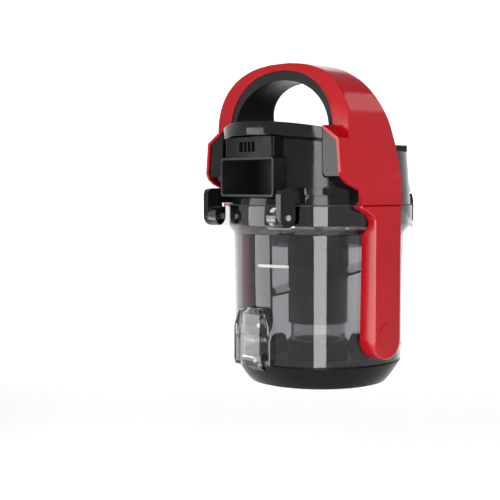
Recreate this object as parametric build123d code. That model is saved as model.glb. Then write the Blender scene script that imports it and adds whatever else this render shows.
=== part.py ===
from build123d import *

import math
import os

# Cyclonic dust container of a bagless vacuum cleaner, with its carrying handle.
# Frame: +Z up, millimetres. The origin is on the bin's axis at the underside of the closed bottom lid.
# The inlet port and the lid's release latch face -Y, and the lid's hinge is at +Y.
# The straps are at +X and -X.

# ---- driving sizes ----
WALL = 2.2  # moulded clear and black walls
GAP = 0.3  # clearance between separate pieces
FIT = 0.05  # radial clearance of a pin in its hole
ARCH_FOOT_Z = 222.0  # where the handle's legs turn into its crown

# bottom lid
LID_FOOT_R = 60.0
LID_RIM_R = 75.0
LID_TOP = 22.0
LID_SKIN = 3.0
OUTLET_R = 23.0
COLLAR_R = 27.0
COLLAR_TOP = 35.0
LID_HINGE_Y = 83.0
LID_HINGE_Z = 27.0
LID_KNUCKLE_R = 6.0
LID_PIN_R = 2.5
LID_KNUCKLE_HALF = 15.5
LID_LUG_W = 8.0

# clear bin
BIN_BOTTOM = LID_TOP + GAP
BIN_R_LOW = 75.0
BIN_R_HIGH = 77.0
BIN_TOP = 134.0
RIM_R = 84.0
RIM_WALL = 2.4
RIM_LOW = 142.0
RIM_TOP = 159.0

# head hinge at the front
HEAD_HINGE_Y = -85.5
HEAD_HINGE_Z = 149.5
EYE_R = 8.5
EYE_IN = 33.0
EYE_OUT = 43.6
ARM_IN = 44.0
ARM_OUT = 50.0
ARM_R = 8.0
HEAD_PIN_R = 2.5

# head
HEAD_LOW = 159.6
HEAD_R_LOW = 82.5
HEAD_R_HIGH = 79.0
HEAD_WALL = 2.5
SPIGOT_R = 76.8
SPIGOT_LOW = 144.0
SPIGOT_CUT_R = 23.5  # round the hinge axis, so that the head can swing
PLATE_R = 86.0
PLATE_T = 13.0
PLATE_HALF = 63.8
PLATE_FRONT_Z = 231.0
PLATE_REAR_Z = 212.0
DECK_T = 3.0

# inlet port
PORT_HALF = 34.0
PORT_LOW = 166.6
PORT_HIGH = 200.2
PORT_FRONT = -87.0
PORT_DEPTH = 34.0
PORT_WALL = 2.0

# straps, side panels and handle
SIDE_X = 89.0
STRAP_FRONT = -22.0
STRAP_BACK = 11.3
STRAP_SKIN = 3.0
STRAP_HORN_X = 80.5  # inner end of the flare at the strap's top
STRAP_LOW = 28.3
SPLIT_Z = 160.0
WING_FRONT = -61.0
WING_FACE = -59.5
WING_IN = 64.1
HOOP_FRONT = -49.0
CAP_R = 10.5

# cyclone inside
SHROUD_R = 27.0
SHROUD_LOW = 52.6
SHROUD_SKIN = 1.6
PIPE_R = 24.6
PIPE_WALL = 1.7
SKIRT_R = 44.0
VANE_R = 56.0

# release latch
LATCH_HALF = 16.5
LATCH_LOW = 21.5
LATCH_HIGH = 71.0
LATCH_FACE = -86.5
LATCH_SKIN = 2.5
LATCH_PIVOT_Y = -80.5
LATCH_PIVOT_Z = 45.0
LATCH_PIN_R = 1.5

# rear latch
REAR_LATCH_HALF = 32.0
REAR_PIVOT_Y = 90.5
REAR_PIVOT_Z = 165.0
REAR_PIN_R = 1.5

PARTS = {}


def keep(name, shape):
    """Registers one node, made of one or more separate solids."""
    solids = shape if isinstance(shape, list) else [shape]
    found = [s for piece in solids for s in piece.solids()]
    PARTS[name] = Compound(children=found) if len(found) > 1 else found[0]


def ring(r_out, r_in, low, high):
    """A flat-ended tube round the bin's axis."""
    standing = (Align.CENTER, Align.CENTER, Align.MIN)
    outer = Pos(0, 0, low) * Cylinder(r_out, high - low, align=standing)
    if r_in <= 0:
        return outer
    bore = Pos(0, 0, low - 1) * Cylinder(r_in, high - low + 2, align=standing)
    return outer - bore


def block(x0, x1, y0, y1, z0, z1):
    """A box by its two corners."""
    box = Box(abs(x1 - x0), abs(y1 - y0), abs(z1 - z0))
    return Pos((x0 + x1) / 2, (y0 + y1) / 2, (z0 + z1) / 2) * box


def rod_x(r, x0, x1, y, z):
    """A cylinder along X."""
    return Pos((x0 + x1) / 2, y, z) * Rot(0, 90, 0) * Cylinder(r, abs(x1 - x0))


def rod_y(r, y0, y1, x, z):
    """A cylinder along Y."""
    return Pos(x, (y0 + y1) / 2, z) * Rot(90, 0, 0) * Cylinder(r, abs(y1 - y0))


def revolved(points):
    """A solid of revolution round Z from a closed (radius, height) outline."""
    return revolve(Plane.XZ * make_face(Polyline(*points, close=True)), Axis.Z)


def side_plate(points, x0, x1):
    """A (Y, Z) outline pushed through from x0 to x1."""
    face = Plane.YZ.offset(x0) * make_face(Polyline(*points, close=True))
    return extrude(face, x1 - x0)


def bin_radius(z):
    """Outer radius of the bin's drafted wall at a height."""
    share = (z - BIN_BOTTOM) / (BIN_TOP - BIN_BOTTOM)
    return BIN_R_LOW + (BIN_R_HIGH - BIN_R_LOW) * share


def bin_keep_out(margin):
    """Everything inside the bin's outside surface, grown by a margin."""
    m = margin
    return revolved(
        [
            (0, 0),
            (BIN_R_LOW + m, 0),
            (BIN_R_LOW + m, BIN_BOTTOM),
            (BIN_R_HIGH + m, BIN_TOP),
            (RIM_R + m, RIM_LOW),
            (RIM_R + m, SPLIT_Z + 1),
            (0, SPLIT_Z + 1),
        ]
    )


def both(shape):
    """A shape on the +X side and its mirror on the -X side."""
    return [shape, mirror(shape, Plane.YZ)]


# ---- bin ----


def bin_inside():
    """The room inside the bin's walls, from under the lid's joint to above the rim."""
    return revolved(
        [
            (0, BIN_BOTTOM - 5),
            (BIN_R_LOW - WALL, BIN_BOTTOM - 5),
            (BIN_R_LOW - WALL, BIN_BOTTOM),
            (BIN_R_HIGH - WALL, BIN_TOP),
            (RIM_R - RIM_WALL, RIM_LOW + 0.5),
            (RIM_R - RIM_WALL, RIM_TOP + 1),
            (0, RIM_TOP + 1),
        ]
    )


def bin_shell():
    """The clear wall, with a little draft."""
    return revolved(
        [
            (BIN_R_LOW - WALL, BIN_BOTTOM),
            (BIN_R_LOW, BIN_BOTTOM),
            (BIN_R_HIGH, BIN_TOP),
            (BIN_R_HIGH - WALL, BIN_TOP),
        ]
    )


def bin_rim():
    """The flared clear collar on top of the wall, which the head sits on."""
    return revolved(
        [
            (BIN_R_HIGH - WALL, BIN_TOP + 0.02),
            (BIN_R_HIGH, BIN_TOP + 0.02),
            (RIM_R, RIM_LOW),
            (RIM_R, RIM_TOP),
            (RIM_R - RIM_WALL, RIM_TOP),
            (RIM_R - RIM_WALL, RIM_LOW + 0.5),
        ]
    )


def rim_seal():
    """The ribbed black ring seen through the collar."""
    outer = RIM_R - RIM_WALL - 0.1
    points = [(outer - 1.7, RIM_TOP - 0.2), (outer - 1.7, RIM_LOW + 0.8)]
    for low in (142.8, 146.0, 149.2, 152.4, 155.6):
        points += [(outer - 0.9, low), (outer - 0.2, low + 0.5)]
        points += [(outer, low + 1.3), (outer - 0.2, low + 2.1)]
    points += [(outer - 0.9, RIM_TOP - 0.2)]
    return revolved(points)


def hinge_eyes():
    """The two clear eyes of the head's hinge, on the collar's front."""
    eye = rod_x(EYE_R, EYE_IN, EYE_OUT, HEAD_HINGE_Y, HEAD_HINGE_Z)
    eye += block(EYE_IN, EYE_OUT, HEAD_HINGE_Y, -68, HEAD_HINGE_Z - EYE_R, HEAD_HINGE_Z + EYE_R)
    eye -= rod_x(HEAD_PIN_R, EYE_IN - 1, EYE_OUT + 1, HEAD_HINGE_Y, HEAD_HINGE_Z)
    return both(eye - bin_keep_out(0.02))


def lid_lugs():
    """The two clear lugs that hold the lid's pin."""
    inner = LID_KNUCKLE_HALF + GAP
    outer = LID_KNUCKLE_HALF + LID_LUG_W
    lug = rod_x(LID_KNUCKLE_R, inner, outer, LID_HINGE_Y, LID_HINGE_Z)
    lug += block(inner, outer, 68, LID_HINGE_Y, BIN_BOTTOM, 33)
    lug -= rod_x(LID_PIN_R, 15, 24, LID_HINGE_Y, LID_HINGE_Z)
    return both(lug - bin_keep_out(0.02))


def latch_ears():
    """The two clear ears inside the release latch."""
    ear = rod_x(3.5, 9.5, 12.8, LATCH_PIVOT_Y, LATCH_PIVOT_Z)
    ear += block(9.5, 12.8, LATCH_PIVOT_Y, -70, LATCH_PIVOT_Z - 3.5, LATCH_PIVOT_Z + 3.5)
    ear -= rod_x(LATCH_PIN_R, 9, 13.2, LATCH_PIVOT_Y, LATCH_PIVOT_Z)
    return both(ear - bin_keep_out(0.02))


def hook_ledge():
    """The clear ledge under the rear hook, and the catch that the hook holds."""
    outline = [(74, 131), (84, 136), (93.4, 139), (93.4, 141.6), (74, 141.6)]
    ledge = side_plate(outline, -REAR_LATCH_HALF, REAR_LATCH_HALF)
    catch = block(-12, 12, 79, 87.3, 146, 150)
    return [ledge - bin_keep_out(0.02), catch - bin_keep_out(0.02)]


def fill_line():
    """The raised maximum-fill mark on the bin's wall, to the right of the latch."""
    z = 107.6
    r = bin_radius(z)
    band = ring(r + 0.45, r + 0.03, z - 1.2, z + 1.2)
    quarter = Pos(0, 0, z - 3) * Box(200, 200, 6, align=(Align.MIN, Align.MIN, Align.MIN))
    return (band & (Rot(0, 0, -87) * quarter)) - Rot(0, 0, -64) * quarter


def strap():
    """One red lower strap, an open channel that covers the bin's side."""
    middle = (STRAP_FRONT + STRAP_BACK) / 2
    half = (STRAP_BACK - STRAP_FRONT) / 2
    top = SPLIT_Z - GAP

    def outline(inset):
        low = STRAP_LOW + half
        flare = [(-38.4, top), (-38.4, 157.5), (-31, 154.5), (-24.5, 151)]
        flare = [(y + inset, z) for y, z in flare]
        edge = Polyline((STRAP_FRONT + inset, low), (STRAP_FRONT + inset, 147), *reversed(flare))
        close = Polyline((-38.4 + inset, top), (STRAP_BACK - inset, top), (STRAP_BACK - inset, low))
        bottom = ThreePointArc(
            (STRAP_BACK - inset, low), (middle, STRAP_LOW + inset), (STRAP_FRONT + inset, low)
        )
        return make_face(Curve() + [edge, close, bottom])

    outer = extrude(Plane.YZ.offset(60) * outline(0), SIDE_X - 60)
    outer = chamfer(outer.faces().sort_by(Axis.X)[-1].edges(), 1.2)
    hollow = extrude(Plane.YZ.offset(59) * outline(STRAP_SKIN), SIDE_X - STRAP_SKIN - 59)
    beside_head = block(60, STRAP_HORN_X, -60, STRAP_FRONT - 0.5, RIM_TOP - 5, SPLIT_Z + 1)
    return outer - hollow - beside_head - bin_keep_out(0.02)


def strap_rail():
    """The black rail under a strap, which clips it to the bin."""
    rail = block(70, SIDE_X - STRAP_SKIN - GAP, -15, 4.3, 48, 132)
    return rail - bin_keep_out(0.02) - block(79, 90, -11, 0.3, 52, 128)


def strap_cap():
    """The round cap on a strap's lower end."""
    disc = rod_x(CAP_R, SIDE_X, SIDE_X + 0.9, -5.5, 49.5)
    return fillet(disc.edges().sort_by(Axis.X)[-1], 0.6)


# ---- lid ----


def lid_base():
    dish = revolved(
        [
            (OUTLET_R, 0),
            (LID_FOOT_R - 4, 0),
            (LID_FOOT_R + 1.5, 1.5),
            (66.7, 7.7),
            (LID_RIM_R, 20.5),
            (LID_RIM_R, LID_TOP),
            (LID_RIM_R - LID_SKIN, LID_TOP),
            (LID_FOOT_R - 1.5, LID_SKIN),
            (COLLAR_R, LID_SKIN),
            (COLLAR_R, COLLAR_TOP),
            (OUTLET_R, COLLAR_TOP),
        ]
    )
    knuckle = rod_x(LID_KNUCKLE_R, -LID_KNUCKLE_HALF, LID_KNUCKLE_HALF, LID_HINGE_Y, LID_HINGE_Z)
    arm = side_plate(
        [
            (70, 15),
            (70, LID_TOP),
            (77.2, LID_TOP),
            (77.2, LID_HINGE_Z),
            (LID_HINGE_Y, LID_HINGE_Z),
            (LID_HINGE_Y, LID_HINGE_Z - LID_KNUCKLE_R),
            (78, 15),
        ],
        -LID_KNUCKLE_HALF,
        LID_KNUCKLE_HALF,
    )
    tab_outline = [(-68, 13), (-68, LID_TOP), (-76.2, LID_TOP), (-76.2, 31), (-79, 29), (-79, 20)]
    tab = side_plate(tab_outline, -8, 8)
    rim_in = LID_RIM_R - LID_SKIN
    inside = revolved([(0, 3), (LID_FOOT_R - 1.5, 3), (rim_in, LID_TOP), (rim_in, 40), (0, 40)])
    base = dish + (arm - inside) + (tab - inside) + knuckle
    return base - rod_x(LID_PIN_R + FIT, -17, 17, LID_HINGE_Y, LID_HINGE_Z)


def lid_floor():
    """The inner floor plate of the lid, with three upright dust fins."""
    plate = revolved(
        [(COLLAR_R + 0.1, 15), (66.8, 15), (66.8, 17.4), (COLLAR_R + 0.1, 17.4)]
    )
    edge = [(9.5, 17), (9.5, 30), (8, 34), (4.5, 36.5)]
    outline = edge + [(-x, z) for x, z in reversed(edge)]
    fin = extrude(Plane.XZ * make_face(Polyline(*outline, close=True)), 1.0, both=True)
    for angle in (0, 90, 180):
        plate += Rot(0, 0, angle) * Pos(53, 0, 0) * Rot(0, 0, 90) * fin
    return plate


def lid_seal():
    """The rubber ring that closes the lid against the bin's bottom edge."""
    return revolved([(67.2, 17.5), (68.6, 17.5), (71.4, 21.6), (71.4, 26.5), (68.9, 26.5), (68.9, 21.6)])


# ---- release latch ----


def release_latch():
    """The clear rocker that holds the lid: press its top, and its hook moves off the lid's tab."""
    outline = [
        (LATCH_FACE + 1.5, LATCH_LOW),
        (LATCH_FACE, 26),
        (LATCH_FACE, 55),
        (LATCH_FACE + 2, LATCH_HIGH - 5),
        (LATCH_FACE + 4, LATCH_HIGH),
        (-70, LATCH_HIGH),
        (-70, LATCH_LOW),
    ]
    edge = [(16.5, 21), (16.5, 56), (13.5, 67), (11, 71.2)]
    front_view = edge + [(-x, z) for x, z in reversed(edge)]
    body = side_plate(outline, -LATCH_HALF, LATCH_HALF)
    body = body & extrude(Plane.XZ * make_face(Polyline(*front_view, close=True)), 120, both=True)
    hollow = side_plate(
        [
            (LATCH_FACE + LATCH_SKIN, 25),
            (LATCH_FACE + LATCH_SKIN, 55),
            (LATCH_FACE + 2 * LATCH_SKIN, LATCH_HIGH - 5.5),
            (-60, LATCH_HIGH - 3),
            (-60, 25),
        ],
        -11,
        11,
    )
    hollow += block(-13.8, 13.8, LATCH_FACE + LATCH_SKIN, -60, 25, 55)
    nose = side_plate([(-80.2, 25), (-80.2, 28), (-84.5, 30), (-84.5, 23)], -7, 7)
    over = LATCH_HIGH + 1
    wall_side = revolved([(0, 10), (76.4, 10), (76.6, LATCH_PIVOT_Z), (80.6, over), (0, over)])
    latch = body - hollow + nose - wall_side - block(-9.5, 9.5, -80.4, -70, 15, 33)
    for z in (58.0, 60.6, 63.2):
        latch -= block(-9, 9, LATCH_FACE - 1, LATCH_FACE + 0.35 + 0.15 * (z - 55), z, z + 1.0)
    return latch - rod_x(LATCH_PIN_R + FIT, -20, 20, LATCH_PIVOT_Y, LATCH_PIVOT_Z)


def torsion_spring(x0, x1, y, z, r, wire):
    """Rings of wire side by side on a pin, standing for a close-wound torsion spring."""
    turns = max(2, round((x1 - x0) / (2.15 * wire)))
    step = (x1 - x0) / turns
    return [Pos(x0 + (i + 0.5) * step, y, z) * Rot(0, 90, 0) * Torus(r, wire) for i in range(turns)]


# ---- head ----


def swirl_inlet():
    """The passage that leads the air down from the inlet duct, off centre, into the bin."""
    return block(-31, -2, -70, -57, 130, 171)


def head_outline(inset):
    """Side view (Y, Z) of what lies under the head's top plate."""
    top_front = PLATE_FRONT_Z - PLATE_T - inset
    top_rear = PLATE_REAR_Z - 6 - inset
    low = HEAD_LOW - 60
    return [(-100, low), (-100, top_front + 3.2), (0, top_rear), (100, top_rear), (100, low)]


def head_radius(z):
    """Outer radius of the head's drafted wall at a height."""
    share = (z - HEAD_LOW) / (210 - HEAD_LOW)
    return HEAD_R_LOW + (HEAD_R_HIGH - HEAD_R_LOW) * share


def head_housing():
    def cone(inset, low):
        return revolved(
            [
                (0, low),
                (head_radius(low) - inset, low),
                (head_radius(240) - inset, 240),
                (0, 240),
            ]
        )

    outer = cone(0, HEAD_LOW) & side_plate(head_outline(0), -120, 120)
    hollow = cone(HEAD_WALL, HEAD_LOW + DECK_T) & side_plate(head_outline(HEAD_WALL), -120, 120)
    shell = outer - hollow
    spigot = ring(SPIGOT_R, SPIGOT_R - 3, SPIGOT_LOW, HEAD_LOW + 1)
    for groove_z in (147.0, 150.4, 153.8):
        spigot -= ring(SPIGOT_R + 1, SPIGOT_R - 1, groove_z, groove_z + 1.4)
    shell += spigot - rod_x(SPIGOT_CUT_R, -60, 60, HEAD_HINGE_Y, HEAD_HINGE_Z)
    shell -= ring(90, head_radius(167) - 0.7, 166.9, 167.7)
    arm_outline = Polyline(
        (HEAD_HINGE_Y + ARM_R + 0.8, HEAD_HINGE_Z),
        (HEAD_HINGE_Y + ARM_R + 0.8, 161),
        (-64, 161),
        (-64, 174),
        (-88.5, 174),
        (-92, 172.6),
        (HEAD_HINGE_Y - ARM_R, 169),
        (HEAD_HINGE_Y - ARM_R, HEAD_HINGE_Z),
    )
    foot = ThreePointArc(
        (HEAD_HINGE_Y - ARM_R, HEAD_HINGE_Z),
        (HEAD_HINGE_Y + 0.4, HEAD_HINGE_Z - ARM_R - 0.4),
        (HEAD_HINGE_Y + ARM_R + 0.8, HEAD_HINGE_Z),
    )
    arm = extrude(Plane.YZ.offset(ARM_IN) * make_face(Curve() + [arm_outline, foot]), ARM_OUT - ARM_IN)
    flange = ring(head_radius(170) + 1.4, 70, 168.5, 174) - block(-100, 100, -55, 100, 160, 180)
    solid_inside = cone(HEAD_WALL, HEAD_LOW)
    for piece in both(arm) + [flange]:
        shell += piece - solid_inside
    shell -= block(-PORT_HALF, PORT_HALF, -100, -60, PORT_LOW, PORT_HIGH)
    shell -= ring(PIPE_R + 0.2, 0, HEAD_LOW - 1, HEAD_LOW + DECK_T + 1)
    shell -= swirl_inlet()
    for side in (-1, 1):
        shell -= rod_x(HEAD_PIN_R + FIT, side * 43, side * 51, HEAD_HINGE_Y, HEAD_HINGE_Z)
    return shell


def top_outline(low_offset, high_offset):
    """Side view (Y, Z) of the top plate: it slopes down from the port and is flat behind."""
    return [
        (-100, PLATE_FRONT_Z + 3.2 + high_offset),
        (0, PLATE_REAR_Z + high_offset),
        (100, PLATE_REAR_Z + high_offset),
        (100, PLATE_REAR_Z - 5.9 + low_offset),
        (0, PLATE_REAR_Z - 5.9 + low_offset),
        (-100, PLATE_FRONT_Z - PLATE_T + 3.3 + low_offset),
    ]


def top_plate():
    front = ring(PLATE_R, 0, 190, 245) & block(-PLATE_HALF, PLATE_HALF, -100, -40, 190, 245)
    rear = ring(head_radius(206), 0, 190, 245) & block(-PLATE_HALF, PLATE_HALF, -41, 100, 190, 245)
    return (front + rear) & side_plate(top_outline(0, 0), -120, 120)


def inlet_duct():
    half = PORT_HALF - 0.1
    back = PORT_FRONT + PORT_DEPTH
    frame = block(-half, half, PORT_FRONT, back, PORT_LOW + 0.1, PORT_HIGH - 0.1)
    frame = fillet(frame.edges().filter_by(Axis.Y), 3)
    bore = block(
        -PORT_HALF + PORT_WALL,
        PORT_HALF - PORT_WALL,
        PORT_FRONT - 1,
        PORT_FRONT + PORT_DEPTH - PORT_WALL,
        PORT_LOW + PORT_WALL,
        PORT_HIGH - PORT_WALL,
    )
    bore = fillet(bore.edges().filter_by(Axis.Y), 2)
    return frame - bore - swirl_inlet()


def port_hood():
    """The black block over the port, with a slotted recess in its face."""
    hood = block(-31, 31, -84.6, -74, PORT_HIGH + 0.1, 217.5)
    hood = fillet(hood.edges().filter_by(Axis.Z), 2.5)
    recess = block(-12, 8, -90, -82, 205, 213.5)
    ribs = [block(x, x + 1.6, -84, -81.9, 205, 213.5) for x in (-8, -3, 2)]
    cone = revolved([(0, 150), (head_radius(150) + 0.02, 150), (head_radius(240) + 0.02, 240), (0, 240)])
    hood -= recess
    for rib in ribs:
        hood += rib
    return (hood & side_plate(head_outline(0.1), -120, 120)) - cone


def arch_points(half_width, rise, power, count=12):
    """Points up one half of a superellipse that stands on ARCH_FOOT_Z, without its crown."""
    points = []
    for i in range(count):
        t = math.radians(90 * i / count)
        x = half_width * math.cos(t) ** (2 / power)
        z = ARCH_FOOT_Z + rise * math.sin(t) ** (2 / power)
        points.append((x, z))
    return points


def hoop(half_width, rise, power, foot, depth):
    """The +X half of an X-Z arch: a straight leg, then a smooth crown to the middle."""
    top = ARCH_FOOT_Z + rise
    points = arch_points(half_width, rise, power)
    crown = Spline(*points, (0, top), tangents=[(0, 1), (-1, 0)])
    leg = Polyline((0, top), (0, foot[1]), foot, points[0])
    face = Plane.XZ * make_face(Curve() + [crown, leg])
    return extrude(face, depth, both=True)


def outer_block(inset):
    """Half of the red form: the arch seen from the front."""
    return hoop(83.0 - inset, 60.0 - inset, 2.4, (SIDE_X - inset, SPLIT_Z), 80)


def grip_opening(inset, foot):
    """What the black grip fills and surrounds, seen from the front."""
    return hoop(65.4 - inset, 54.0 - inset, 2.2, (65.4 - inset, foot), 90)


def side_outline():
    """The red side seen from +X, as a (Y, Z) outline."""
    front = [
        (-38.4, SPLIT_Z),
        (-38.4, 171.5),
        (-52.5, 177.2),
        (-58.4, 181.6),
        (WING_FRONT, 187),
        (WING_FRONT, 232),
        (HOOP_FRONT, 232),
        (HOOP_FRONT, 290),
        (-20, 290),
    ]
    foot = (STRAP_BACK + 0.3, SPLIT_Z)
    back = Spline((-20, 290), (-17, 275), (-13, 262), (-7.5, 248), (2.5, 228), (9.6, 205), foot)
    base = Line(foot, front[0])
    return Plane.YZ.offset(-120) * make_face(Curve() + [Polyline(*front), back, base])


def ledge_wedge(x_low, z_low, x_high, z_high):
    """What lies above the sloping ledge in front of the arch, from its inner to its outer end."""
    face = make_face(Polyline((x_low, z_low), (x_high, z_high), (x_high, 300), (x_low, 300), close=True))
    return extrude(Plane.XZ.offset(-HOOP_FRONT) * face, 40)


def handle_half():
    body = outer_block(0) & extrude(side_outline(), 240)
    body -= ledge_wedge(55, 232.6, 95, 207.8)
    body -= grip_opening(0, 150)
    body -= outer_block(STRAP_SKIN) & block(0, 120, -100, 60, 150, 209)
    body -= ring(HEAD_R_LOW + 0.4, 0, 150, 190)
    body -= ring(head_radius(190) + 0.1, 0, 189.9, 222)
    body -= ring(PLATE_R + 0.3, 0, 205.9, 234) & block(-64.2, 64.2, -100, 100, 200, 240)
    pocket = outer_block(STRAP_SKIN) & block(0, 120, -100, HOOP_FRONT + 0.01, 150, 240)
    return body - (pocket - ledge_wedge(55, 229.6, 95, 204.8))


def handle_shell():
    half = handle_half()
    return half + mirror(half, Plane.YZ)


def wing_box():
    """The glossy black box inside one wing, between the head and the red side."""
    outline = [
        (-35.2, SPLIT_Z + 0.2),
        (-35.2, 174),
        (-50.5, 180),
        (-54, 184),
        (-54, 204),
        (4, 204),
        (7, SPLIT_Z + 0.2),
    ]
    low = side_plate(outline, 50, SIDE_X)
    face = block(WING_IN, SIDE_X, WING_FACE, HOOP_FRONT - 0.2, 184, 240)
    face = fillet(face.edges().filter_by(Axis.Y).sort_by(Axis.Z)[:2].sort_by(Axis.X)[0], 5)
    box = (low + (face - ledge_wedge(55, 229.4, 95, 204.6))) & outer_block(STRAP_SKIN + 0.1)
    box -= ring(head_radius(150) + 0.1, 0, 150, 190) + ring(head_radius(190) + 0.1, 0, 189.9, 240)
    return box - block(0, WING_IN - 0.05, -100, 0, 204.1, 240)


def handle_liner():
    """The black grip that lines the arch."""
    opening = hoop(60.0, 45.5, 2.1, (60.0, 150), 95)
    half = (grip_opening(0.1, 209.1) - opening) & extrude(side_outline(), 240)
    half = half & block(0, 120, HOOP_FRONT + 0.8, 60, 209.1, 300)
    rear = PLATE_REAR_Z + 0.1
    below = [(-100, PLATE_FRONT_Z + 3.3), (0, rear), (100, rear), (100, 100), (-100, 100)]
    half -= side_plate(below, -70, 70)
    return half + mirror(half, Plane.YZ)


def rear_cover():
    """The black cover over the rear hook's pivot, on the back of the head."""
    shape = side_plate([(76, 170), (76, 207), (82, 206), (87, 200), (93, 176), (93, 170)], -30, 30)
    edge = [(29, 160), (29, 172), (26, 192), (22, 201), (15, 206.5)]
    rear_view = edge + [(-x, z) for x, z in reversed(edge)]
    face = make_face(Polyline(*rear_view, close=True))
    shape = shape & extrude(Plane.XZ * face, 120, both=True)
    for side in (-1, 1):
        shape += block(side * 22, side * 26, 82, 93, 161, 171)
    foot_r = head_radius(150) + 0.05
    top_r = head_radius(240) + 0.05
    shape -= revolved([(0, 150), (foot_r, 150), (top_r, 240), (0, 240)])
    shape -= ring(head_radius(206) + 0.05, 0, 200, 220)
    return shape - rod_x(REAR_PIN_R, -31, 31, REAR_PIVOT_Y, REAR_PIVOT_Z)


def rear_latch():
    outline = [
        (87.9, 169),
        (92.5, 169),
        (94.8, 162),
        (94.8, 144),
        (93.4, 142.3),
        (88.4, 142.3),
        (88.0, 143.5),
        (90, 146),
        (90, 158),
        (87.9, 161),
    ]
    body = side_plate(outline, -REAR_LATCH_HALF, REAR_LATCH_HALF)
    body -= block(-40, 40, 94.2, 96, 159.7, 160.4)
    for side in (-1, 1):
        body -= block(side * 21.6, side * 26.4, 80, 100, 157, 172)
    return body - rod_x(REAR_PIN_R + FIT, -34, 34, REAR_PIVOT_Y, REAR_PIVOT_Z)


# ---- cyclone and filter ----


def shroud():
    """The dark sleeve in the middle of the cyclone."""
    return ring(SHROUD_R, SHROUD_R - SHROUD_SKIN, SHROUD_LOW, 136)


def shroud_mesh_band():
    """The band of perforated sheet that wraps the sleeve's top."""
    return ring(SHROUD_R + 0.7, SHROUD_R + 0.02, 103.5, 134.1)


def vane():
    """The sloping guide plate round the sleeve, highest at the right rear."""
    slope = math.degrees(math.atan2(27, 93))
    disc = Cylinder(90, 2.0)
    tilted = Pos(0, 0, 91.5) * Rot(0, 0, 45) * Rot(0, -slope, 0) * disc
    return (tilted & ring(VANE_R, SHROUD_R + 0.02, 50, 130)) - block(-100, 100, -100, 100, 120, 140)


def build():
    keep("bin_shell", bin_shell())
    keep("bin_rim", bin_rim())
    keep("rim_seal", rim_seal())
    keep("hinge_eyes", hinge_eyes())
    keep("lid_lugs", lid_lugs())
    keep("latch_ears", latch_ears())
    keep("hook_ledge", hook_ledge())
    keep("fill_line", fill_line())
    right_strap, left_strap = both(strap())
    keep("strap_right", right_strap)
    keep("strap_left", left_strap)
    keep("strap_rails", both(strap_rail()))
    keep("strap_caps", both(strap_cap()))
    keep("hinge_pins", both(rod_x(HEAD_PIN_R, EYE_IN, ARM_OUT + 1.2, HEAD_HINGE_Y, HEAD_HINGE_Z)))
    pin_half = LATCH_HALF - 0.4
    keep("latch_pin", rod_x(LATCH_PIN_R, -pin_half, pin_half, LATCH_PIVOT_Y, LATCH_PIVOT_Z))
    keep("latch_spring", torsion_spring(-6.5, 6.5, LATCH_PIVOT_Y, LATCH_PIVOT_Z, 2.6, 0.6))
    pin_half = LID_KNUCKLE_HALF + LID_LUG_W
    keep("lid_pin", rod_x(LID_PIN_R, -pin_half, pin_half, LID_HINGE_Y, LID_HINGE_Z))

    keep("lid_base", lid_base())
    keep("lid_floor", lid_floor())
    keep("lid_seal", lid_seal())
    keep("outlet_seal", ring(COLLAR_R - 0.2, OUTLET_R + 0.4, COLLAR_TOP, COLLAR_TOP + 2.0))

    keep("release_latch", release_latch())

    keep("head_housing", head_housing())
    keep("head_top_plate", top_plate())
    keep("head_seal", ring(83.6, 80.4, RIM_TOP + 0.05, HEAD_LOW))
    keep("inlet_duct", inlet_duct())
    keep("port_hood", port_hood())
    keep("handle_shell", handle_shell())
    keep("handle_liner", handle_liner())
    right_box, left_box = both(wing_box())
    keep("wing_box_right", right_box)
    keep("wing_box_left", left_box)
    keep("rear_cover", rear_cover())
    keep("rear_latch_pin", rod_x(REAR_PIN_R, -31, 31, REAR_PIVOT_Y, REAR_PIVOT_Z))
    keep("rear_latch", rear_latch())

    keep("cyclone_shroud", shroud())
    keep("shroud_mesh", shroud_mesh_band())
    keep("guide_vane", vane())
    skirt_top = ring(SKIRT_R, SHROUD_R + 0.02, 134.2, 136)
    keep("cyclone_skirt", skirt_top + ring(SKIRT_R, SKIRT_R - 2, 122, 136))
    keep("outlet_pipe", ring(PIPE_R, PIPE_R - PIPE_WALL, COLLAR_TOP + 2.1, 172))
    keep("cyclone_deck", ring(73.6, PIPE_R + 0.05, 136.0, 139.0) - swirl_inlet())
    post = Pos(60, 0, 149.3) * Cylinder(3, 20.6)
    keep("deck_posts", [Rot(0, 0, angle) * post for angle in (45, 135, 225, 315)])
    keep("filter_frame", ring(52, 49.5, 176, 200) + ring(52, 27, 173.5, 176.05))
    keep("filter_gasket", ring(51, 46, 170.6, 173.4))
    pleats = [Rot(0, 0, 10 * i) * block(27.5, 48.5, -0.8, 0.8, 177, 199) for i in range(36)]
    keep("filter_pleats", pleats)


build()
os.makedirs("parts", exist_ok=True)
for name, shape in PARTS.items():
    export_step(shape, f"parts/{name}.step")
print(len(PARTS), "nodes")
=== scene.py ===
"""Looks for the cyclonic dust container: materials, rounded edges, camera and soft studio light.

Frame: +Z up, metres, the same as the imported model.
"""

import math

import bmesh
import bpy
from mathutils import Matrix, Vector

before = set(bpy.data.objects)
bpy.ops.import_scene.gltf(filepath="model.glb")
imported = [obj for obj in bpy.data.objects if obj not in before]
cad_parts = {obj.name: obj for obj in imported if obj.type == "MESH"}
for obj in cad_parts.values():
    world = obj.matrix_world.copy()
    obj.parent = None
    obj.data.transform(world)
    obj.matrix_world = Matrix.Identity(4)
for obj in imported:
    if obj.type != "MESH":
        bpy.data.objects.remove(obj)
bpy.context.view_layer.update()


# ---- material helpers ----


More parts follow.
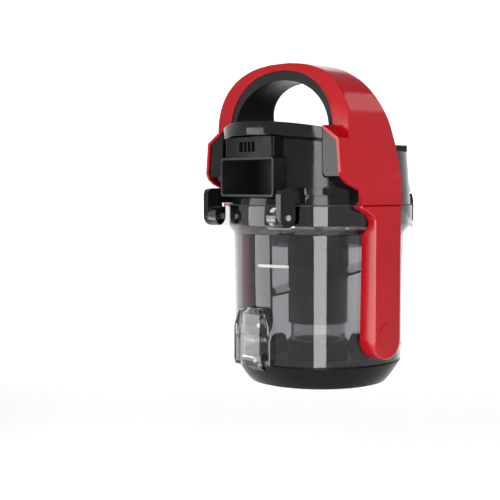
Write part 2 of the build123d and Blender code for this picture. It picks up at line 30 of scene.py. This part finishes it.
class Shader:
    """A node tree with a Principled shader, and short calls for what feeds it."""

    def __init__(self, name):
        self.material = bpy.data.materials.new(name)
        self.material.use_nodes = True
        self.nodes = self.material.node_tree.nodes
        self.links = self.material.node_tree.links
        self.bsdf = self.nodes["Principled BSDF"]
        self.coords = self.nodes.new("ShaderNodeTexCoord")

    def set(self, **values):
        for key, value in values.items():
            self.bsdf.inputs[key.replace("_", " ")].default_value = value

    def noise(self, scale, detail=3.0, rough=0.5, stretch=(1, 1, 1)):
        mapping = self.nodes.new("ShaderNodeMapping")
        mapping.inputs["Scale"].default_value = stretch
        self.links.new(self.coords.outputs["Object"], mapping.inputs["Vector"])
        tex = self.nodes.new("ShaderNodeTexNoise")
        tex.inputs["Scale"].default_value = scale
        tex.inputs["Detail"].default_value = detail
        tex.inputs["Roughness"].default_value = rough
        self.links.new(mapping.outputs["Vector"], tex.inputs["Vector"])
        return tex.outputs["Fac"]

    def ramp(self, fac, stops):
        node = self.nodes.new("ShaderNodeValToRGB")
        ramp = node.color_ramp
        ramp.elements[0].position, ramp.elements[0].color = stops[0]
        ramp.elements[1].position, ramp.elements[1].color = stops[-1]
        for position, color in stops[1:-1]:
            ramp.elements.new(position).color = color
        self.links.new(fac, node.inputs["Fac"])
        return node.outputs["Color"]

    def color(self, fac, low, high, a=0.35, b=0.65):
        out = self.ramp(fac, [(a, (*low, 1)), (b, (*high, 1))])
        self.links.new(out, self.bsdf.inputs["Base Color"])

    def rough(self, fac, low, high, a=0.35, b=0.65):
        out = self.ramp(fac, [(a, (low, low, low, 1)), (b, (high, high, high, 1))])
        self.links.new(out, self.bsdf.inputs["Roughness"])

    def bump(self, fac, distance, strength=1.0):
        node = self.nodes.new("ShaderNodeBump")
        node.inputs["Strength"].default_value = strength
        node.inputs["Distance"].default_value = distance
        self.links.new(fac, node.inputs["Height"])
        self.links.new(node.outputs["Normal"], self.bsdf.inputs["Normal"])


def moulded(name, low, high, rough_low, rough_high, ripple=0.00002, specular=0.5, scale=60.0):
    """Injection-moulded plastic: small changes of colour and gloss, and a faintly rippled skin."""
    s = Shader(name)
    s.color(s.noise(14.0, 4.0), low, high)
    s.rough(s.noise(90.0, 5.0, 0.6), rough_low, rough_high)
    s.bump(s.noise(scale, 3.0), ripple, 0.5)
    s.set(IOR=1.5, Specular_IOR_Level=specular)
    return s.material


def clear_plastic(name, low, high, rough_low, rough_high):
    """Clear polycarbonate, a little smoky, with fine scuffs from use."""
    s = Shader(name)
    s.color(s.noise(9.0, 3.0), low, high)
    s.rough(s.noise(60.0, 6.0, 0.65, (1, 1, 0.35)), rough_low, rough_high, 0.45, 0.75)
    s.bump(s.noise(24.0, 2.0), 0.00003, 0.35)
    s.set(Transmission_Weight=1.0, IOR=1.45)
    return s.material


# darkest and lightest colour, then lowest and highest roughness
RED = moulded(
    "glossy_red", (0.27, 0.0008, 0.0035), (0.32, 0.0016, 0.0055), 0.12, 0.20, specular=0.30
)
JET = (0.002, 0.002, 0.0024)
JET_LIGHT = (0.005, 0.005, 0.0054)
BLACK = moulded("glossy_black", JET, JET_LIGHT, 0.06, 0.14, specular=0.24)
BLACK_DEEP = moulded("deep_black", JET, JET_LIGHT, 0.16, 0.26, specular=0.08)
SHROUD = moulded(
    "shroud_black", (0.002, 0.002, 0.0022), (0.004, 0.004, 0.0043), 0.10, 0.15, specular=0.75
)
BLACK_SATIN = moulded(
    "satin_black",
    (0.005, 0.005, 0.0055),
    (0.010, 0.010, 0.0105),
    0.30,
    0.44,
    ripple=0.00005,
    specular=0.20,
    scale=700.0,
)
GREY = moulded(
    "dark_grey",
    (0.008, 0.008, 0.0085),
    (0.013, 0.013, 0.0135),
    0.22,
    0.32,
    ripple=0.00003,
    scale=400.0,
)
LID_GREY = moulded(
    "lid_grey",
    (0.045, 0.045, 0.047),
    (0.070, 0.070, 0.073),
    0.35,
    0.50,
    ripple=0.00004,
    scale=600.0,
)
RUBBER = moulded(
    "seal_rubber",
    (0.015, 0.015, 0.015),
    (0.030, 0.030, 0.030),
    0.55,
    0.75,
    ripple=0.00006,
    scale=900.0,
)
CLEAR = clear_plastic(
    "clear_polycarbonate", (0.42, 0.42, 0.43), (0.50, 0.50, 0.51), 0.02, 0.07
)
CLEAR_PALE = clear_plastic(
    "pale_polycarbonate", (0.66, 0.67, 0.68), (0.76, 0.77, 0.78), 0.02, 0.09
)
SMOKY = clear_plastic(
    "smoky_polycarbonate", (0.30, 0.30, 0.31), (0.38, 0.38, 0.39), 0.06, 0.16
)
WHITE = moulded("white_print", (0.30, 0.30, 0.30), (0.38, 0.38, 0.38), 0.40, 0.55)


def steel(name):
    s = Shader(name)
    s.color(s.noise(40.0, 3.0), (0.50, 0.50, 0.51), (0.66, 0.66, 0.67))
    s.rough(s.noise(300.0, 4.0, 0.6, (0.1, 1, 1)), 0.22, 0.42)
    s.bump(s.noise(900.0, 2.0, 0.5, (0.05, 1, 1)), 0.00001, 0.6)
    s.set(Metallic=1.0)
    return s.material


def pleated_paper(name):
    s = Shader(name)
    s.color(s.noise(120.0, 5.0), (0.72, 0.72, 0.69), (0.88, 0.88, 0.85))
    s.rough(s.noise(200.0, 3.0), 0.85, 0.95)
    s.bump(s.noise(1800.0, 4.0, 0.7), 0.0001, 0.7)
    s.set(Sheen_Weight=0.2)
    return s.material


def perforated(name, radius, pitch):
    """A dark sheet with rows of round holes, set out round the bin's axis; the holes are painted
    near-black spots, painted shade for the dark inside seen through them.
    """
    s = Shader(name)

    def math_node(operation, a, b=None):
        node = s.nodes.new("ShaderNodeMath")
        node.operation = operation
        for socket, value in zip(node.inputs, (a, b)):
            if isinstance(value, (int, float)):
                socket.default_value = value
            elif value is not None:
                s.links.new(value, socket)
        return node.outputs[0]

    split = s.nodes.new("ShaderNodeSeparateXYZ")
    s.links.new(s.coords.outputs["Object"], split.inputs[0])
    x, y, z = split.outputs
    count = round(2 * math.pi * radius / pitch)
    row_height = math.sqrt(3) / 2  # of an even triangle of holes, in pitches
    row = math_node("DIVIDE", z, pitch * row_height)
    shift = math_node("MULTIPLY", math_node("MODULO", math_node("FLOOR", row), 2.0), 0.5)
    around = math_node("MULTIPLY", math_node("ARCTAN2", y, x), count / (2 * math.pi))
    u = math_node("SUBTRACT", math_node("FRACT", math_node("ADD", around, shift)), 0.5)
    v = math_node("MULTIPLY", math_node("SUBTRACT", math_node("FRACT", row), 0.5), row_height)
    u_squared = math_node("MULTIPLY", u, u)
    v_squared = math_node("MULTIPLY", v, v)
    far = math_node("SQRT", math_node("ADD", u_squared, v_squared))
    hole_edge = (0.24, 0.30)
    # near-black, rough hole spots are painted shade of the inside seen through the openings; the
    # sheet between them is its own dark grey
    s.color(far, (0.0010, 0.0010, 0.0010), (0.050, 0.050, 0.052), *hole_edge)
    s.rough(far, 0.80, 0.20, *hole_edge)
    s.set(Metallic=0.6)
    return s.material


MESH_R = 0.0277
HOLE_PITCH = 0.0026

STEEL = steel("pin_steel")
PAPER = pleated_paper("filter_paper")
MESH = perforated("perforated_sheet", MESH_R, HOLE_PITCH)

LOOKS = {
    "bin_shell": CLEAR,
    "bin_rim": CLEAR,
    "rim_seal": BLACK,
    "hinge_eyes": CLEAR_PALE,
    "lid_lugs": CLEAR_PALE,
    "latch_ears": CLEAR_PALE,
    "hook_ledge": CLEAR_PALE,
    "fill_line": WHITE,
    "strap_right": RED,
    "strap_left": RED,
    "strap_rails": BLACK,
    "strap_caps": RED,
    "hinge_pins": STEEL,
    "latch_pin": STEEL,
    "latch_spring": STEEL,
    "lid_pin": STEEL,
    "lid_base": BLACK_DEEP,
    "lid_floor": LID_GREY,
    "lid_seal": RUBBER,
    "outlet_seal": RUBBER,
    "release_latch": CLEAR_PALE,
    "head_housing": BLACK,
    "head_top_plate": BLACK,
    "head_seal": RUBBER,
    "inlet_duct": BLACK_SATIN,
    "port_hood": BLACK_DEEP,
    "handle_shell": RED,
    "handle_liner": BLACK_SATIN,
    "wing_box_right": BLACK,
    "wing_box_left": BLACK,
    "rear_cover": BLACK_DEEP,
    "rear_latch_pin": STEEL,
    "rear_latch": BLACK,
    "cyclone_shroud": SHROUD,
    "shroud_mesh": MESH,
    "guide_vane": SMOKY,
    "cyclone_skirt": SMOKY,
    "outlet_pipe": CLEAR_PALE,
    "cyclone_deck": GREY,
    "deck_posts": GREY,
    "filter_frame": GREY,
    "filter_gasket": RUBBER,
    "filter_pleats": PAPER,
}

# moulded edges are never sharp: width of the rounding in metres
ROUNDED = {
    "handle_shell": 0.0009,
    "handle_liner": 0.0007,
    "strap_right": 0.0005,
    "strap_left": 0.0005,
    "head_top_plate": 0.0008,
    "head_housing": 0.0005,
    "wing_box_right": 0.0007,
    "wing_box_left": 0.0007,
    "inlet_duct": 0.0004,
    "port_hood": 0.0005,
    "rear_cover": 0.0008,
    "rear_latch": 0.0006,
    "lid_base": 0.0005,
    "release_latch": 0.0005,
    "bin_rim": 0.0004,
    "hook_ledge": 0.0005,
}

WELD_DISTANCE = 0.000002
SHARP_ANGLE = math.radians(32)

for node, width in ROUNDED.items():
    obj = bpy.data.objects[node]
    weld = obj.modifiers.new("weld", "WELD")
    weld.merge_threshold = WELD_DISTANCE
    bevel = obj.modifiers.new("bevel", "BEVEL")
    bevel.width = width
    bevel.segments = 3
    bevel.limit_method = "ANGLE"
    bevel.angle_limit = SHARP_ANGLE
    bevel.use_clamp_overlap = True

for node, material in LOOKS.items():
    obj = bpy.data.objects[node]
    if not obj.material_slots:
        obj.data.materials.append(material)
    for item in obj.material_slots:
        item.material = material


# ---- camera ----

CAMERA_AT = Vector((0.6951, -0.6951, 0.175))
HEADING = math.radians(138.623)
PITCH = math.radians(-3.338)
SENSOR_MM = 36.0
FOCAL_MM = 2.16 * SENSOR_MM

camera_data = bpy.data.cameras.new("camera")
camera_data.sensor_width = SENSOR_MM
camera_data.lens = FOCAL_MM
camera = bpy.data.objects.new("camera", camera_data)
level = math.cos(PITCH)
forward = Vector((math.cos(HEADING) * level, math.sin(HEADING) * level, math.sin(PITCH)))
camera.location = CAMERA_AT
camera.rotation_euler = forward.to_track_quat("-Z", "Y").to_euler()
bpy.context.scene.collection.objects.link(camera)
bpy.context.scene.camera = camera


# ---- floor and light ----


# the bin is held in the air, so its lid has room to swing down
FLOOR_Z = -0.16


def floor():
    """A wide pale floor that curves up far behind, seen from any side."""
    mesh = bpy.data.meshes.new("floor")
    bm = bmesh.new()
    profile = [(1.5, 0.0), (3.0, 0.0), (4.2, 0.25), (5.0, 0.9), (5.4, 2.0), (5.5, 3.6)]
    count = 96
    centre = bm.verts.new((0, 0, FLOOR_Z))
    rows = []
    for radius, height in profile:
        row = []
        for i in range(count):
            a = 2 * math.pi * i / count
            place = (radius * math.cos(a), radius * math.sin(a), height + FLOOR_Z)
            row.append(bm.verts.new(place))
        rows.append(row)
    for i in range(count):
        j = (i + 1) % count
        bm.faces.new((centre, rows[0][i], rows[0][j]))
        for low, high in zip(rows, rows[1:]):
            bm.faces.new((low[i], high[i], high[j], low[j]))
    bm.to_mesh(mesh)
    bm.free()
    for face in mesh.polygons:
        face.use_smooth = True
    obj = bpy.data.objects.new("floor", mesh)
    bpy.context.scene.collection.objects.link(obj)
    s = Shader("pale_floor")
    s.color(s.noise(2.0, 2.0), (0.88, 0.88, 0.88), (0.92, 0.92, 0.92))
    s.rough(s.noise(20.0), 0.6, 0.75)
    s.set(Emission_Color=(1.0, 1.0, 1.0, 1.0), Emission_Strength=0.20)
    mesh.materials.append(s.material)


def softbox(name, at, target, size, power):
    """A flat white light that faces its target."""
    data = bpy.data.lights.new(name, "AREA")
    data.shape = "RECTANGLE"
    data.size, data.size_y = size
    data.energy = power
    obj = bpy.data.objects.new(name, data)
    obj.location = at
    obj.rotation_euler = (Vector(target) - Vector(at)).to_track_quat("-Z", "Y").to_euler()
    # it is mirrored in the object, but isn't seen directly or through the clear wall
    obj.visible_camera = False
    obj.visible_transmission = False
    bpy.context.scene.collection.objects.link(obj)


MIDDLE = (0.0, 0.0, 0.14)
STANDING_FAR = 0.42
STANDING_LOW = -0.12


def standing(name, azimuth, width, top, power):
    """An upright strip light close to the bin, so the whole wall mirrors it."""
    a = math.radians(azimuth)
    middle = (STANDING_LOW + top) / 2
    at = (STANDING_FAR * math.cos(a), STANDING_FAR * math.sin(a), middle)
    softbox(name, at, (0, 0, middle), (width, top - STANDING_LOW), power)


floor()
# azimuths are from +X, and the camera stands at -45 degrees
standing("strip", -42.5, 0.112, 0.42, 2.0)
standing("left_box", -119, 0.180, 0.25, 1.15)
softbox("top", (0.0, -0.3, 1.9), MIDDLE, (1.5, 1.5), 17)
softbox("wall_wash", (-1.2, 1.2, 2.6), (-4.0, 4.0, 1.0), (2.0, 2.0), 105)
softbox("right_back", (1.2, 1.9, 1.6), MIDDLE, (1.0, 1.0), 6)

bpy.context.scene.view_settings.view_transform = "Standard"
world = bpy.data.worlds.new("studio")
bpy.context.scene.world = world
world.use_nodes = True
background = world.node_tree.nodes["Background"]
background.inputs["Color"].default_value = (0.95, 0.96, 1.0, 1)
background.inputs["Strength"].default_value = 0.3
